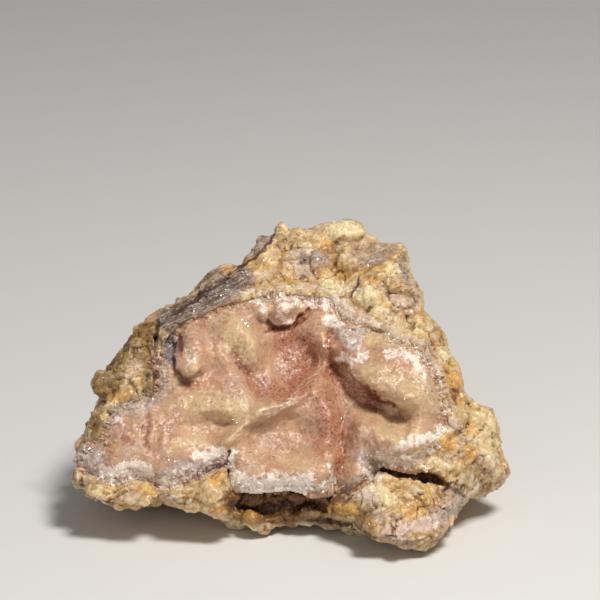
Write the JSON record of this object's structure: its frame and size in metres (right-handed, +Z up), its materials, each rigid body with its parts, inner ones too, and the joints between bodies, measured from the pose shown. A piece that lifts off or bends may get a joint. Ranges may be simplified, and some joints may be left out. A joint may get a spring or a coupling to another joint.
{
  "type": "magnesite specimen",
  "caption": "Wedge of yellow-brown granular rock with a broad shallow hollow in its front, lined with a lumpy peach and cream crystalline crust with a white rim.",
  "frame": {"origin": "middle of the foot of the specimen's box, on the plane that it rests on", "axes": "+Z up as it rests, -Y towards the viewer of the crust, +X to that viewer's right, along the longest side"},
  "size_m": [0.0908, 0.0648, 0.0561],
  "materials": {
    "host_rock": "granular stone: packed translucent grains in pale yellow, tan and cream, with dark brown joints and lilac-grey patches",
    "crystal_crust": "sparkling druse of tiny glossy crystals in peach, pink-brown and cream, with a sugary white broken rim"
  },
  "bodies": {
    "root": {"host_rock": "host_rock", "crystal_crust": "crystal_crust"}
  },
  "joints": []
}
